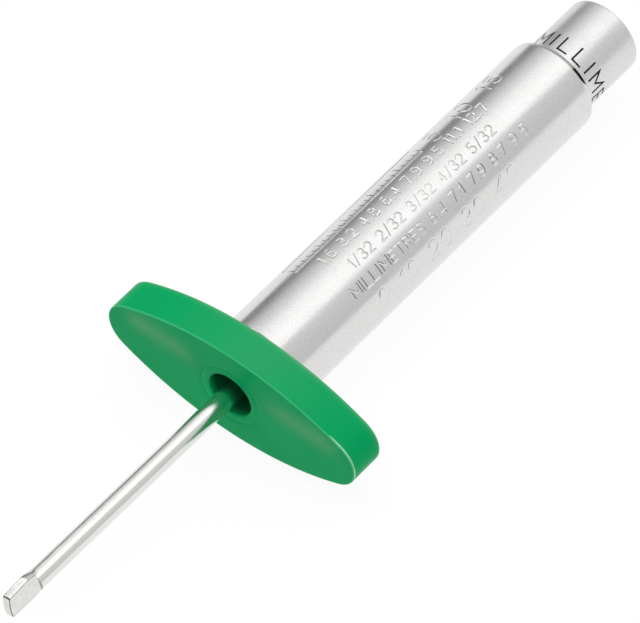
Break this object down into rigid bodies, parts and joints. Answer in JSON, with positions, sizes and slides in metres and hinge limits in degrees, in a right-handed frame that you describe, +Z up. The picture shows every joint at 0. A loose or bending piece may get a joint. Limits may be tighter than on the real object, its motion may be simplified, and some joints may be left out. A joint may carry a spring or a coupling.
{
  "type": "tyre tread depth gauge",
  "caption": "Pen-sized tread depth gauge: an aluminium body tube on an oval moulded foot, with a sliding graduated sleeve that carries a steel probe rod with a flat blade tip.",
  "frame": {"origin": "centre of the bounding box, on the surface that the gauge lies on", "axes": "+Z up from that surface, +Y along the tool's axis from the blade tip to the sleeve's end, X along the foot's long side"},
  "size_m": [0.0376, 0.1126, 0.0148],
  "materials": {
    "tube_aluminium": "polished drawn tube with a soft long grain",
    "sleeve_aluminium": "satin polished, with black printed graduations",
    "foot_plastic": "moulded green plastic, semi-gloss",
    "probe_steel": "bright zinc plate",
    "carrier_nylon": "natural nylon",
    "ring_rubber": "nitrile rubber",
    "fastener_steel": "zinc plated"
  },
  "bodies": {
    "gauge_body": {"body_tube": "tube_aluminium", "foot_plate": "foot_plastic"},
    "drag_ring": {"friction_ring": "ring_rubber"},
    "slider": {"scale_sleeve": "sleeve_aluminium", "sleeve_end_cap": "sleeve_aluminium", "probe_carrier": "carrier_nylon", "probe_rod": "probe_steel", "lock_washer": "fastener_steel", "lock_nut": "fastener_steel"}
  },
  "joints": [
    {"name": "probe_slide", "type": "slide", "parent": "gauge_body", "child": "drag_ring", "axis": [0, 1, 0], "range_m": [0, 0.04]},
    {"name": "sleeve_spin", "type": "hinge", "parent": "drag_ring", "child": "slider", "pos_m": [0, 0, 0.0074], "axis": [0, 1, 0], "continuous": true}
  ]
}
